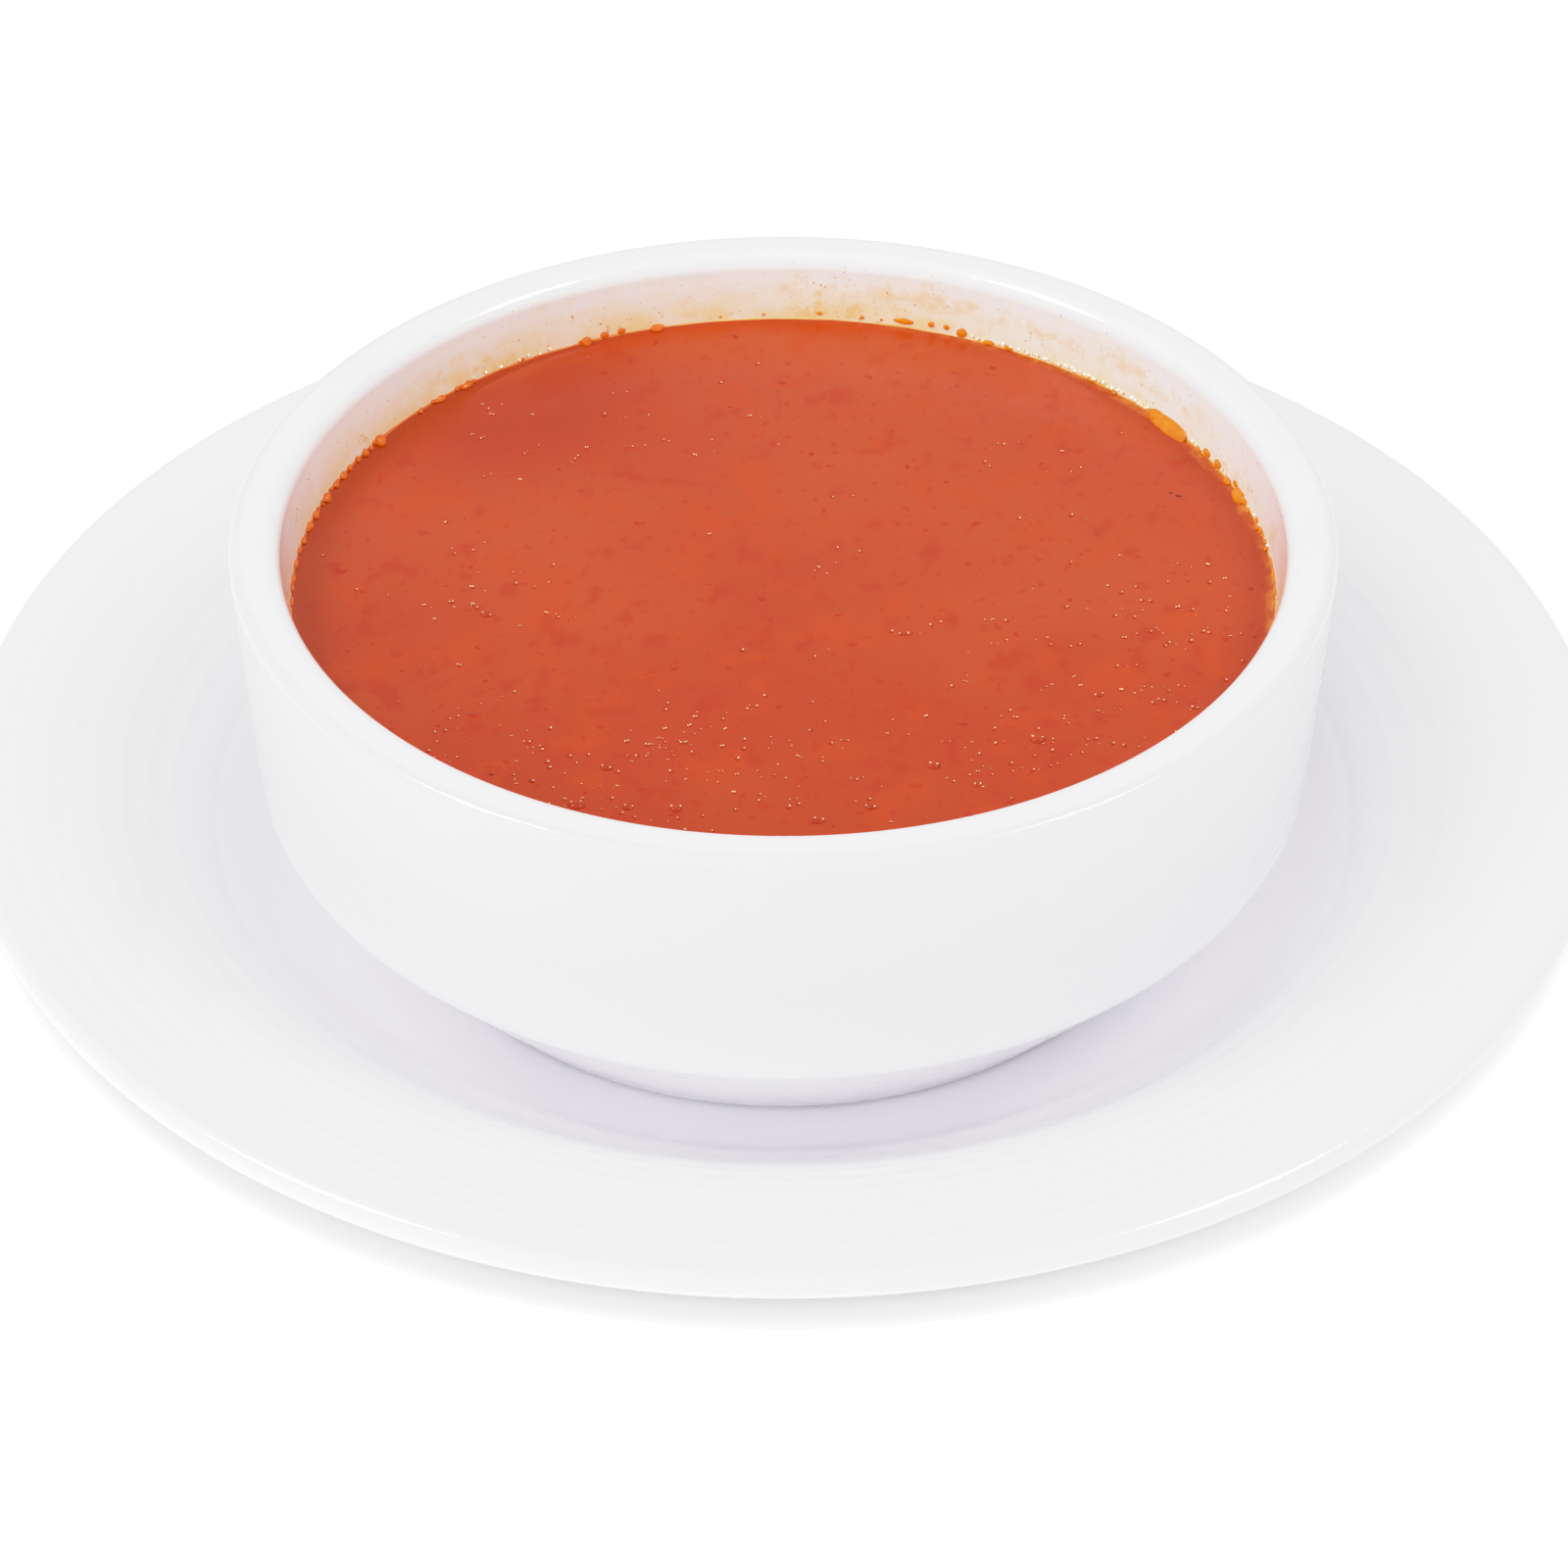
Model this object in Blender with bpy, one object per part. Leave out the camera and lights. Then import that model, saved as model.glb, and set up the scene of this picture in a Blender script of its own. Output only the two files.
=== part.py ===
"""Tomato soup in a round white bowl that stands on its deep white saucer.

Everything is turned about the Z axis. Units are metres, +Z is up, and the origin is the
centre of the saucer's foot ring, on the table. Each profile runs in the plane of X and Z, from
the axis out along the underside, up the outside, over the rim and back to the axis.
"""

import math

import bmesh
import bpy

SEGMENTS = 64
GAP = 0.0003

# Saucer
SAUCER_FOOT_IN_R = 0.0480
SAUCER_FOOT_OUT_R = 0.0520
SAUCER_FOOT_EDGE = 0.0004
SAUCER_RECESS_Z = 0.0030
SAUCER_FLOOR_Z = 0.0070
SAUCER_FLOOR_R = 0.0465
WELL_END = (0.0610, 0.0152)
WELL_SLOPE = math.radians(41.3)
WELL_BROW = (0.0637, 0.0176)
WING_CORNER = (0.0715, 0.0242)
LIP_R = 0.0015
LIP_CENTRE = (0.0897, 0.0260)
BACK_START = (0.0534, 0.0034)
BACK_CORNER = (0.0680, 0.0196)

# Bowl, measured from its own foot
BOWL_Z = SAUCER_FLOOR_Z + GAP
BOWL_HEIGHT = 0.0468
BOWL_R = 0.0600
BOWL_FOOT_R = 0.0433
BOWL_FOOT_WIDTH = 0.0039
BOWL_FOOT_EDGE = 0.0004
BOWL_RECESS = 0.0022
CREASE_R = 0.0584
CREASE_Z = 0.0173
CREASE_BLEND = 0.0011
WALL_R = 0.0589
WALL_Z = 0.0246
RIM_OUTER_EDGE = 0.0012
RIM_INNER_EDGE = 0.0021
THROAT_R = 0.0545
INNER_WALL_R = 0.0530
INNER_WALL_Z = 0.0248
INNER_CORNER_R = 0.0515
INNER_FLOOR_R = 0.0270
INNER_FLOOR_Z = 0.0060

# Soup
SOUP_Z = 0.0383
SOUP_R = 0.0537

GLAZE = (0.84, 0.84, 0.86, 1.0)
TOMATO = (0.60, 0.09, 0.045, 1.0)


def clear_scene():
    """Remove every object of the start-up scene."""
    for obj in list(bpy.data.objects):
        bpy.data.objects.remove(obj, do_unlink=True)


def bend(start, corner, end, steps):
    """Points of a smooth curve that leaves start and reaches end heading along the corner."""
    points = []
    for i in range(steps + 1):
        t = i / steps
        a, b, c = (1 - t) ** 2, 2 * t * (1 - t), t * t
        points.append(tuple(a * p + b * q + c * r for p, q, r in zip(start, corner, end)))
    return points


def arc(centre, radius, start_deg, end_deg, steps):
    """Points of a round edge, with angles from the outward direction towards +Z."""
    points = []
    for i in range(steps + 1):
        angle = math.radians(start_deg + (end_deg - start_deg) * i / steps)
        points.append((centre[0] + radius * math.cos(angle), centre[1] + radius * math.sin(angle)))
    return points


def tidy(points):
    """The points without any that lies on the one before it."""
    kept = points[:1]
    for point in points[1:]:
        if math.dist(point, kept[-1]) > 1e-6:
            kept.append(point)
    return kept


def foot_ring(inner_r, outer_r, edge, bottom_z, recess_z):
    """Underside from the axis to the outer edge of a flat foot ring with eased edges."""
    return [
        (0.0, recess_z),
        (inner_r - 2 * edge, recess_z),
        (inner_r - edge, bottom_z + edge),
        (inner_r, bottom_z),
        (outer_r - edge, bottom_z),
        (outer_r, bottom_z + edge),
    ]


def saucer_profile():
    """Foot ring, rising back, rounded lip, broad wing, steep brow and round well."""
    well_corner_r = WELL_END[0] - (WELL_END[1] - SAUCER_FLOOR_Z) / math.tan(WELL_SLOPE)
    lip_under = (LIP_CENTRE[0] - 0.0004, LIP_CENTRE[1] - LIP_R)
    lip_top = (LIP_CENTRE[0], LIP_CENTRE[1] + LIP_R)
    points = foot_ring(
        SAUCER_FOOT_IN_R, SAUCER_FOOT_OUT_R, SAUCER_FOOT_EDGE, 0.0, SAUCER_RECESS_Z
    )
    points += bend(BACK_START, BACK_CORNER, lip_under, 6)
    points += arc(LIP_CENTRE, LIP_R, -90, 90, 6)
    points += bend(lip_top, WING_CORNER, WELL_BROW, 7)
    points += bend(WELL_END, (well_corner_r, SAUCER_FLOOR_Z), (SAUCER_FLOOR_R, SAUCER_FLOOR_Z), 5)
    points.append((0.0, SAUCER_FLOOR_Z))
    return tidy(points)


def inner_wall(start_z, inset):
    """Inside of the bowl from a height down to the axis, moved inwards by the inset."""
    slope = (THROAT_R - SOUP_R) / (BOWL_HEIGHT - RIM_INNER_EDGE - SOUP_Z)
    start_r = SOUP_R + slope * (start_z - SOUP_Z)
    floor_z = INNER_FLOOR_Z + inset
    points = [(start_r - inset, start_z)]
    if start_z > SOUP_Z:
        points.append((SOUP_R - inset, SOUP_Z))
    points += bend(
        (INNER_WALL_R - inset, INNER_WALL_Z),
        (INNER_CORNER_R - inset, floor_z),
        (INNER_FLOOR_R, floor_z),
        7,
    )
    points.append((0.0, floor_z))
    return points


def bowl_profile():
    """Foot ring, sloping underside, crease, upright wall, soft rim and the inside."""
    slope = math.atan2(CREASE_Z, CREASE_R - BOWL_FOOT_R)
    below = (
        CREASE_R - CREASE_BLEND * math.cos(slope),
        CREASE_Z - CREASE_BLEND * math.sin(slope),
    )
    above = (
        CREASE_R + (WALL_R - CREASE_R) * CREASE_BLEND / (WALL_Z - CREASE_Z),
        CREASE_Z + CREASE_BLEND,
    )
    outer_centre = (BOWL_R - RIM_OUTER_EDGE, BOWL_HEIGHT - RIM_OUTER_EDGE)
    inner_centre = (THROAT_R + RIM_INNER_EDGE, BOWL_HEIGHT - RIM_INNER_EDGE)
    points = foot_ring(
        BOWL_FOOT_R - BOWL_FOOT_WIDTH,
        BOWL_FOOT_R + BOWL_FOOT_EDGE,
        BOWL_FOOT_EDGE,
        0.0,
        BOWL_RECESS,
    )
    points += bend(below, (CREASE_R, CREASE_Z), above, 3)
    points.append((WALL_R, WALL_Z))
    points += arc(outer_centre, RIM_OUTER_EDGE, 0, 90, 3)
    points += arc(inner_centre, RIM_INNER_EDGE, 90, 180, 4)
    points += inner_wall(BOWL_HEIGHT - RIM_INNER_EDGE, 0.0)
    return tidy(points)


def soup_profile():
    """Solid fill of the bowl up to the soup's surface, clear of the wall by the gap."""
    points = inner_wall(SOUP_Z, GAP)
    return tidy(points[::-1] + [(0.0, SOUP_Z)])


def glossy(name, colour, roughness):
    """Principled material of one colour."""
    material = bpy.data.materials.new(name)
    material.use_nodes = True
    shader = material.node_tree.nodes["Principled BSDF"]
    shader.inputs["Base Color"].default_value = colour
    shader.inputs["Roughness"].default_value = roughness
    return material


def turned(name, profile, base_z, material):
    """Closed solid made by turning the profile once about the Z axis."""
    bm = bmesh.new()
    verts = [bm.verts.new((r, 0.0, base_z + z)) for r, z in profile]
    edges = [bm.edges.new(pair) for pair in zip(verts, verts[1:])]
    bmesh.ops.spin(
        bm,
        geom=verts + edges,
        cent=(0.0, 0.0, 0.0),
        axis=(0.0, 0.0, 1.0),
        angle=2 * math.pi,
        steps=SEGMENTS,
        use_merge=True,
    )
    bmesh.ops.remove_doubles(bm, verts=bm.verts, dist=1e-6)
    bmesh.ops.recalc_face_normals(bm, faces=bm.faces)
    mesh = bpy.data.meshes.new(name)
    bm.to_mesh(mesh)
    bm.free()
    mesh.materials.append(material)
    mesh.shade_smooth()
    mesh.set_sharp_from_angle(angle=math.radians(32))
    obj = bpy.data.objects.new(name, mesh)
    bpy.context.scene.collection.objects.link(obj)
    return obj


def main():
    """Build the saucer, the bowl and the soup."""
    clear_scene()
    turned("saucer", saucer_profile(), 0.0, glossy("saucer_glaze", GLAZE, 0.12))
    turned("bowl", bowl_profile(), BOWL_Z, glossy("bowl_glaze", GLAZE, 0.12))
    turned("soup", soup_profile(), BOWL_Z, glossy("tomato_soup", TOMATO, 0.2))


main()
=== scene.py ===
"""Tomato soup in a thick white bowl on its deep ridged saucer: looks, light and camera.

Every piece is turned or scattered about the Z axis, in metres, with +Z up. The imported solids
give each sub-assembly its place: the saucer, the bowl and the soup are replaced by finer
pieces on the same outlines.
"""

import logging
import math
import random
from collections.abc import Callable
from dataclasses import dataclass
from enum import Enum

import bmesh
import bpy
from mathutils import Matrix, Vector, noise


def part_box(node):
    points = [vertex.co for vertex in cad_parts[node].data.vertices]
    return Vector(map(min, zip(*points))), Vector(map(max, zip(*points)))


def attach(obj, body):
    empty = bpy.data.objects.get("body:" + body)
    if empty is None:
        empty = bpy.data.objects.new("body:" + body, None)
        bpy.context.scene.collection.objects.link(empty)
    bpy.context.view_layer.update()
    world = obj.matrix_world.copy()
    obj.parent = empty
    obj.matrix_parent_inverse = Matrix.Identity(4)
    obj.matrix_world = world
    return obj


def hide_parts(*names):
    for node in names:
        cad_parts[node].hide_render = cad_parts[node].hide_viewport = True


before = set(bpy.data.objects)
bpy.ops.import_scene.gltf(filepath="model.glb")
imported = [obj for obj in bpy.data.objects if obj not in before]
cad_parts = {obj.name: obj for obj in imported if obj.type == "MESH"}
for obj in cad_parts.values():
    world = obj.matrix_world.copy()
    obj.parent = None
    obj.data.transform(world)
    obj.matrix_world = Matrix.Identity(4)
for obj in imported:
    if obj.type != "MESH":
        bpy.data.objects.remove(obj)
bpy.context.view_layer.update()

LOG = logging.getLogger("tomato_soup")
MM = 0.001
SAME_POINT = 0.0001 * MM
MERGE = 0.001 * MM

Point = tuple[float, float]
Triple = tuple[float, float, float]
Bead = tuple[float, float, float, float]
Colour = Triple
Stops = tuple[Point, ...]
Socket = bpy.types.NodeSocket


class Body(Enum):
    """Rigid bodies that pieces ride on."""

    ROOT = "root"


class Slot(Enum):
    """Material slots of the record."""

    SAUCER = "saucer_glaze"
    BOWL = "bowl_glaze"
    SOUP = "tomato_soup"


# ---------------------------------------------------------------------------
# Curves and meshes
# ---------------------------------------------------------------------------


def bend(start: Point, corner: Point, end: Point, steps: int) -> list[Point]:
    """Curve that leaves start and reaches end heading along the corner.

    Args:
        start: first point, as radius and height.
        corner: point that both end tangents pass through.
        end: last point.
        steps: number of segments.

    Returns:
        The points from start to end.
    """
    points = []
    for i in range(steps + 1):
        t = i / steps
        a, b, c = (1 - t) ** 2, 2 * t * (1 - t), t * t
        points.append(
            (a * start[0] + b * corner[0] + c * end[0], a * start[1] + b * corner[1] + c * end[1])
        )
    return points


def arc(centre: Point, radius: float, start_deg: float, end_deg: float, steps: int) -> list[Point]:
    """Round edge, with angles from the outward direction towards up.

    Args:
        centre: centre of the round, as radius and height.
        radius: radius of the round.
        start_deg: first angle in degrees.
        end_deg: last angle in degrees.
        steps: number of segments.

    Returns:
        The points along the round.
    """
    points = []
    for i in range(steps + 1):
        angle = math.radians(start_deg + (end_deg - start_deg) * i / steps)
        points.append((centre[0] + radius * math.cos(angle), centre[1] + radius * math.sin(angle)))
    return points


def resample(points: list[Point], step: float) -> list[Point]:
    """Evenly dense copy of a run of points.

    Args:
        points: the run.
        step: longest distance to leave between neighbours.

    Returns:
        The run with points added on its straight stretches, and no repeats.
    """
    dense = [points[0]]
    for a, b in zip(points, points[1:]):
        length = math.dist(a, b)
        if length < SAME_POINT:
            continue
        count = max(1, math.ceil(length / step))
        dense += [
            (a[0] + (b[0] - a[0]) * i / count, a[1] + (b[1] - a[1]) * i / count)
            for i in range(1, count + 1)
        ]
    return dense


def turn(profile: list[Point], steps: int) -> bmesh.types.BMesh:
    """Turn a profile once about the Z axis.

    Args:
        profile: points as radius and height, from the axis back to the axis for a closed solid.
        steps: number of steps round the axis.

    Returns:
        A new bmesh with outward faces.
    """
    bm = bmesh.new()
    verts = [bm.verts.new((r, 0.0, z)) for r, z in profile]
    edges = [bm.edges.new(pair) for pair in zip(verts, verts[1:])]
    bmesh.ops.spin(
        bm,
        geom=verts + edges,
        cent=(0.0, 0.0, 0.0),
        axis=(0.0, 0.0, 1.0),
        angle=2 * math.pi,
        steps=steps,
        use_merge=True,
    )
    bmesh.ops.remove_doubles(bm, verts=bm.verts, dist=MERGE)
    bmesh.ops.recalc_face_normals(bm, faces=bm.faces)
    return bm


def piece_from(
    bm: bmesh.types.BMesh, name: str, material: bpy.types.Material, slot: Slot, *,
    sharp_deg: float = 60.0,
) -> bpy.types.Object:
    """Make a smooth-shaded piece that rides on the root body.

    Args:
        bm: finished mesh, freed here.
        name: piece name.
        material: its finish.
        slot: record slot that the finish belongs to; not used.
        sharp_deg: edges sharper than this stay sharp.

    Returns:
        The new object, at the origin.
    """
    mesh = bpy.data.meshes.new(name)
    bm.to_mesh(mesh)
    bm.free()
    mesh.materials.append(material)
    mesh.shade_smooth()
    mesh.set_sharp_from_angle(angle=math.radians(sharp_deg))
    obj = bpy.data.objects.new(name, mesh)
    bpy.context.scene.collection.objects.link(obj)
    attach(obj, Body.ROOT.value)
    return obj


def unit(value: float) -> float:
    """Number kept between 0 and 1."""
    return min(1.0, max(0.0, value))


def ring_noise(azimuth: float, patches: float, level: float) -> float:
    """Noise round the axis: azimuth in radians, patches round and a level that picks the pattern."""
    return noise.noise(Vector((patches * math.cos(azimuth), patches * math.sin(azimuth), level)))


def report(obj: bpy.types.Object) -> None:
    """Log a piece's name and triangle count."""
    obj.data.calc_loop_triangles()
    LOG.info("%s: %d triangles", obj.name, len(obj.data.loop_triangles))


def on_ring(radius: float, azimuth_deg: float, height: float) -> Vector:
    """Point at a radius, an azimuth and a height."""
    angle = math.radians(azimuth_deg)
    return Vector((radius * math.cos(angle), radius * math.sin(angle), height))


def add_blob(
    bm: bmesh.types.BMesh,
    place: Callable[[Vector], Vector],
    rings: tuple[int, int],
    unevenness: float = 0.0,
    seed: float = 0.0,
) -> None:
    """Add one small rounded body.

    Args:
        bm: mesh that takes the body.
        place: turns a point of a unit ball into a point of the body.
        rings: segments around and from pole to pole.
        unevenness: how far the outline wanders, as a part of its radius.
        seed: picks the outline.
    """
    ball = bmesh.new()
    bmesh.ops.create_uvsphere(ball, u_segments=rings[0], v_segments=rings[1], radius=1.0)
    offset = Vector((seed, 3.1 * seed, 0.0))
    for vert in ball.verts:
        swell = 1.0 + unevenness * noise.noise(vert.co * 1.3 + offset) if unevenness else 1.0
        vert.co = place(vert.co * swell)
    bmesh.ops.recalc_face_normals(ball, faces=ball.faces)
    body = bpy.data.meshes.new("body")
    ball.to_mesh(body)
    ball.free()
    bm.from_mesh(body)
    bpy.data.meshes.remove(body)


# ---------------------------------------------------------------------------
# Finishes
# ---------------------------------------------------------------------------


@dataclass(frozen=True)
class Grain:
    """Noise: cells for each metre, octaves, weight of the finer ones, stretch and offset."""

    scale: float
    detail: float = 2.0
    rough: float = 0.5
    stretch: Colour = (1.0, 1.0, 1.0)
    seed: float = 0.0


@dataclass(frozen=True)
class Mottle(Grain):
    """Patches that fade in between two values of the noise, from least to full strength."""

    start: float = 0.3
    full: float = 0.7
    least: float = 0.0
    strength: float = 1.0


@dataclass(frozen=True)
class Coat:
    """Colour that is laid on in patches."""

    tone: Colour
    patches: Mottle


class NodeSheet:
    """Node tree of one material, with short calls for the nodes used here."""

    def __init__(self, name: str) -> None:
        """Start a material with a Principled shader."""
        self.material = bpy.data.materials.new(name)
        self.material.use_nodes = True
        self.tree = self.material.node_tree
        self.shader = self.tree.nodes["Principled BSDF"]
        self._place: Socket | None = None

    def link(self, source: Socket, target: Socket) -> None:
        """Join an output to an input."""
        self.tree.links.new(source, target)

    def place(self) -> Socket:
        """Object coordinates of the piece."""
        if self._place is None:
            self._place = self.tree.nodes.new("ShaderNodeTexCoord").outputs["Object"]
        return self._place

    def feed(self, value: object, target: Socket) -> None:
        """Link a socket to the target, or set a plain value on it."""
        if isinstance(value, Socket):
            self.link(value, target)
        else:
            target.default_value = value

    def math(self, operation: str, a: object, b: object = 0.0, *, clamp: bool = False) -> Socket:
        """Arithmetic on one or two numbers.

        Args:
            operation: Blender's name of the operation.
            a: first number or socket.
            b: second number or socket.
            clamp: keep the result between 0 and 1.

        Returns:
            The result's socket.
        """
        node = self.tree.nodes.new("ShaderNodeMath")
        node.operation = operation
        node.use_clamp = clamp
        for value, target in zip((a, b), node.inputs):
            self.feed(value, target)
        return node.outputs[0]

    def plus(self, a: object, b: object, *, clamp: bool = False) -> Socket:
        """Sum of two numbers."""
        return self.math("ADD", a, b, clamp=clamp)

    def minus(self, a: object, b: object) -> Socket:
        """First number less the second."""
        return self.math("SUBTRACT", a, b)

    def times(self, product: object, *factors: object) -> Socket:
        """Product of two or more numbers."""
        for factor in factors:
            product = self.math("MULTIPLY", product, factor)
        return product

    def within(self, value: Socket, start: float, end: float) -> Socket:
        """How far a number has gone from start to end, kept between 0 and 1."""
        return self.math("DIVIDE", self.minus(value, start), end - start, clamp=True)

    def across(self, value: Socket, width: float) -> Socket:
        """Place on a width centred on the axis, from 0 to 1."""
        return self.plus(self.math("DIVIDE", value, width), 0.5, clamp=True)

    def length(self, a: Socket, b: Socket) -> Socket:
        """Length of a flat line from its two parts."""
        return self.math("SQRT", self.plus(self.times(a, a), self.times(b, b)))

    def split(self, vector: Socket) -> tuple[Socket, Socket, Socket]:
        """Three parts of a vector."""
        node = self.tree.nodes.new("ShaderNodeSeparateXYZ")
        self.link(vector, node.inputs[0])
        return node.outputs[0], node.outputs[1], node.outputs[2]

    def radius(self) -> Socket:
        """Distance from the Z axis."""
        x, y, _ = self.split(self.place())
        return self.length(x, y)

    def noise(self, grain: Grain) -> Socket:
        """Noise on Object coordinates, about 0.3 to 0.7."""
        mapping = self.tree.nodes.new("ShaderNodeMapping")
        mapping.inputs["Location"].default_value = (grain.seed, grain.seed * 0.7, grain.seed * 0.3)
        mapping.inputs["Scale"].default_value = grain.stretch
        self.link(self.place(), mapping.inputs["Vector"])
        node = self.tree.nodes.new("ShaderNodeTexNoise")
        node.inputs["Scale"].default_value = grain.scale
        node.inputs["Detail"].default_value = grain.detail
        node.inputs["Roughness"].default_value = grain.rough
        self.link(mapping.outputs[0], node.inputs["Vector"])
        return node.outputs["Fac"]

    def wander(self, grain: Grain, width: float) -> Socket:
        """Noise about zero, scaled to a width."""
        return self.times(self.minus(self.noise(grain), 0.5), width)

    def patches(self, mottle: Mottle) -> Socket:
        """Patches of noise, up to their strength."""
        fade = self.ramp(self.noise(mottle), ((mottle.start, mottle.least), (mottle.full, 1.0)))
        return fade if mottle.strength == 1.0 else self.times(fade, mottle.strength)

    def ramp(self, value: Socket, stops: Stops) -> Socket:
        """Number read from a smooth run of stops.

        Args:
            value: input number.
            stops: pairs of input and output, inputs from 0 to 1.

        Returns:
            The output number's socket.
        """
        node = self.tree.nodes.new("ShaderNodeValToRGB")
        node.color_ramp.interpolation = "EASE"
        marks = node.color_ramp.elements
        while len(marks) < len(stops):
            marks.new(0.5)
        for mark, (at, grey) in zip(marks, stops):
            mark.position = at
            mark.color = (grey, grey, grey, 1.0)
        self.link(value, node.inputs[0])
        return node.outputs[0]

    def mix(self, factor: object, a: object, b: object) -> Socket:
        """Blend of two colours by a factor from 0 to 1."""
        node = self.tree.nodes.new("ShaderNodeMix")
        node.data_type = "RGBA"
        self.feed(factor, node.inputs[0])
        for value, target in ((a, node.inputs[6]), (b, node.inputs[7])):
            self.feed((*value, 1.0) if isinstance(value, tuple) else value, target)
        return node.outputs[2]

    def lay(self, colour: object, coat: Coat, where: object = 1.0) -> Socket:
        """Lay a coat over a colour, where the given number allows it."""
        return self.mix(self.times(self.patches(coat.patches), where), colour, coat.tone)

    def bump(self, height: Socket, distance: float) -> None:
        """Give the shader fine relief of this depth."""
        node = self.tree.nodes.new("ShaderNodeBump")
        node.inputs["Distance"].default_value = distance
        node.inputs["Strength"].default_value = 1.0
        self.link(height, node.inputs["Height"])
        self.link(node.outputs[0], self.shader.inputs["Normal"])

    def set(self, **values: object) -> None:
        """Set shader inputs by name, with underscores for spaces."""
        for key, value in values.items():
            self.feed(value, self.shader.inputs[key.replace("_", " ")])


def scaled(triple: Triple, factor: float) -> Triple:
    """Three numbers, such as a colour or a size, each multiplied by a factor."""
    return tuple(factor * part for part in triple)


@dataclass(frozen=True)
class Glaze:
    """White glaze with faint clouds and dimples, and painted shade that makes it a little greyer past a
    radius.
    """

    name: str
    white: Colour
    outer_from: float
    # Painted shade: the part of the white kept past the outer radius.
    painted_outer_shade: float
    outer_run: float = 0.6 * MM
    roughness: float = 0.10
    index: float = 1.5
    cloud_tone: float = 0.985
    clouds: Mottle = Mottle(45.0, 3.0)
    dimples: Mottle = Mottle(900.0, seed=3.0, start=0.35, full=0.75)
    dimple_depth: float = 0.012 * MM

    def build(self) -> bpy.types.Material:
        """Make the material."""
        sheet = NodeSheet(self.name)
        colour = sheet.mix(sheet.patches(self.clouds), self.white, scaled(self.white, self.cloud_tone))
        # Painted shade: past the outer radius the white is dimmed.
        outer = sheet.within(sheet.radius(), self.outer_from, self.outer_from + self.outer_run)
        colour = sheet.mix(outer, colour, scaled(self.white, self.painted_outer_shade))
        sheet.set(Base_Color=self.stained(sheet, colour), Roughness=self.roughness, IOR=self.index)
        sheet.bump(sheet.patches(self.dimples), self.dimple_depth)
        return sheet.material

    def stained(self, _: NodeSheet, colour: Socket) -> Socket:
        """Colour with the stains on it, of which plain glaze has none."""
        return colour


@dataclass(frozen=True, kw_only=True)
class StainedGlaze(Glaze):
    """Glaze with a film of oil and soup on the inner wall, just above the soup."""

    inner_radius: float
    low: float
    high: float
    depth: float = 2.0 * MM
    width: float = 110.0 * MM
    # Painted light: a faintly cyan white on the inner wall, which cancels the red light that the soup
    # throws on it.
    inner: Colour = (0.965, 0.995, 0.995)
    swing: Grain = Grain(120.0, 3.0, 0.6, (1.0, 1.0, 0.6), 6.6)
    film_swing: float = 0.55
    film_rise: Stops = ((0.0, 1.0), (0.20, 0.90), (0.45, 0.50), (0.75, 0.16), (1.0, 0.0))
    film_side: Stops = ((0.0, 0.70), (0.14, 0.95), (0.60, 0.85), (0.82, 0.45), (1.0, 0.25))
    film: Coat = Coat(
        (0.95, 0.745, 0.33),
        Mottle(230.0, 4.0, 0.62, (1.0, 1.0, 1.1), 1.3, start=0.36, full=0.62, least=0.50),
    )
    masses: Mottle = Mottle(95.0, seed=3.9, start=0.44, full=0.60)
    cloud: Coat = Coat(
        (0.95, 0.66, 0.24), Mottle(420.0, 4.0, 0.65, seed=9.7, start=0.52, full=0.66, strength=0.85)
    )
    dab_swing: float = 0.30
    dab_rise: Stops = ((0.34, 0.0), (0.50, 1.0), (0.62, 1.0), (0.80, 0.0))
    dab_side: Stops = ((0.55, 0.0), (0.66, 1.0), (0.90, 1.0), (0.96, 0.0))
    dab: Coat = Coat(
        (0.96, 0.68, 0.36),
        Mottle(260.0, 4.0, 0.65, (1.0, 1.0, 1.3), 17.7, start=0.44, full=0.62, strength=0.60),
    )
    spot: Coat = Coat(
        (0.94, 0.60, 0.18),
        Mottle(1500.0, 3.0, 0.6, (1.0, 1.0, 0.8), 5.1, start=0.58, full=0.68, strength=0.65),
    )
    pepper: Coat = Coat(
        (0.42, 0.20, 0.08), Mottle(2400.0, 1.0, seed=12.3, start=0.73, full=0.77, strength=0.6)
    )

    def stained(self, sheet: NodeSheet, colour: Socket) -> Socket:
        """Lay painted cyan-white, then the film, clouds, dabs, spots and grains, above the surface of
        the soup.

        Args:
            sheet: node tree.
            colour: colour of the clean glaze.

        Returns:
            The stained colour.
        """
        x, _, z = sheet.split(sheet.place())
        inward = sheet.math("LESS_THAN", sheet.radius(), self.inner_radius)
        inside = sheet.times(inward, sheet.math("GREATER_THAN", z, self.low - self.depth))
        # Painted light: the cyan-white cancels the soup's red light on the inner wall.
        colour = sheet.mix(inside, colour, self.inner)
        level, across = sheet.within(z, self.low, self.high), sheet.across(x, self.width)
        swing = sheet.minus(sheet.noise(self.swing), 0.5)
        ragged = sheet.plus(level, sheet.times(swing, self.film_swing), clamp=True)
        film = sheet.times(
            sheet.ramp(ragged, self.film_rise), sheet.ramp(across, self.film_side), inside
        )
        thick = sheet.times(sheet.patches(self.masses), sheet.math("SQRT", film))
        uneven = sheet.plus(level, sheet.times(swing, self.dab_swing))
        band = sheet.times(sheet.ramp(uneven, self.dab_rise), sheet.ramp(across, self.dab_side), inside)
        coats = (
            (self.film, film), (self.cloud, thick), (self.dab, band), (self.spot, thick),
            (self.pepper, inside),
        )
        for coat, where in coats:
            colour = sheet.lay(colour, coat, where)
        return colour


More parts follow.
